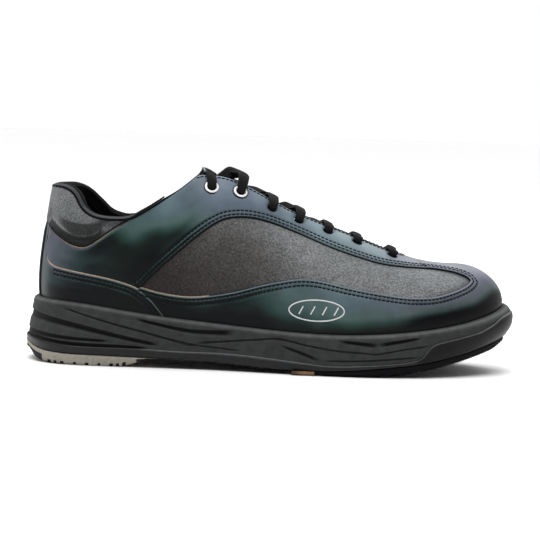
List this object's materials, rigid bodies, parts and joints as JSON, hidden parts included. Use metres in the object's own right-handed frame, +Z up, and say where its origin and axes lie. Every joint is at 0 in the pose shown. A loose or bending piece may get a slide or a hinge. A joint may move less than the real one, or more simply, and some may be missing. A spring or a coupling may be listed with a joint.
{
  "type": "bowling shoe",
  "caption": "Right-foot lace-up bowling shoe with leather overlays, padded collar, wedge midsole, and a heel pad and traction sole that peel off.",
  "frame": {"origin": "middle of the shoe's bounding box at the level of the floor it stands on", "axes": "+X from heel to toe, +Y to the medial (inner) side, +Z up"},
  "size_m": [0.299, 0.1078, 0.1219],
  "materials": {
    "midsole": "matt moulded foam",
    "outsole": "satin moulded rubber",
    "shank": "stamped steel",
    "board": "stiff fibre board",
    "insole": "cloth over foam",
    "heel_pad": "matt layered rubber",
    "dark_rubber": "matt rubber",
    "fastener": "hook and loop tape",
    "traction": "toothed rubber",
    "tan_leather": "thin leather tab",
    "smooth_leather": "smooth colour-shifting synthetic leather",
    "backstay": "fine-grained synthetic leather",
    "pebbled_leather": "pebbled synthetic leather",
    "collar_leather": "fine-grained synthetic leather",
    "foam": "open-cell foam padding",
    "binding": "knitted binding",
    "lining": "brushed mesh",
    "stiffener": "resin-stiffened sheet",
    "tongue_face": "smooth synthetic leather",
    "eyelet": "polished rolled metal",
    "lace": "flat ribbed braid",
    "aglet": "clear-coated sleeve"
  },
  "bodies": {
    "shoe": {"midsole": "midsole", "outsole": "outsole", "shank": "shank", "lasting_board": "board", "insole": "insole", "heel_hook_patch": "fastener", "sole_hook_patch": "fastener", "toe_overlay": "smooth_leather", "quarter_overlay_lateral": "smooth_leather", "quarter_overlay_medial": "smooth_leather", "heel_overlay_lateral": "smooth_leather", "heel_overlay_medial": "smooth_leather", "backstay": "backstay", "side_panel_lateral": "pebbled_leather", "side_panel_medial": "pebbled_leather", "collar_panel": "collar_leather", "collar_foam": "foam", "collar_binding": "binding", "lining": "lining", "toe_puff": "stiffener", "heel_counter": "stiffener", "eyelet_lateral_lower": "eyelet", "eyelet_lateral_upper": "eyelet", "eyelet_medial_lower": "eyelet", "eyelet_medial_upper": "eyelet", "lace": "lace", "aglet_lateral": "aglet", "aglet_medial": "aglet"},
    "heel_pad": {"heel_pad": "heel_pad", "heel_pad_rear_edge": "dark_rubber", "heel_pad_front_edge": "dark_rubber", "heel_loop_patch": "fastener"},
    "traction_sole": {"traction_sole": "traction", "sole_loop_patch": "fastener", "sole_pull_tab": "tan_leather"},
    "tongue": {"tongue_face": "tongue_face", "tongue_foam": "foam", "tongue_lining": "lining"}
  },
  "joints": [
    {"name": "heel_pad_release", "type": "slide", "parent": "shoe", "child": "heel_pad", "axis": [0, 0, -1], "range_m": [0, 0.03]},
    {"name": "traction_sole_release", "type": "slide", "parent": "shoe", "child": "traction_sole", "axis": [0, 0, -1], "range_m": [0, 0.03]},
    {"name": "tongue_hinge", "type": "hinge", "parent": "shoe", "child": "tongue", "pos_m": [0.077, 0.001, 0.058], "axis": [0, 1, 0], "range_deg": [-7, 0]}
  ]
}
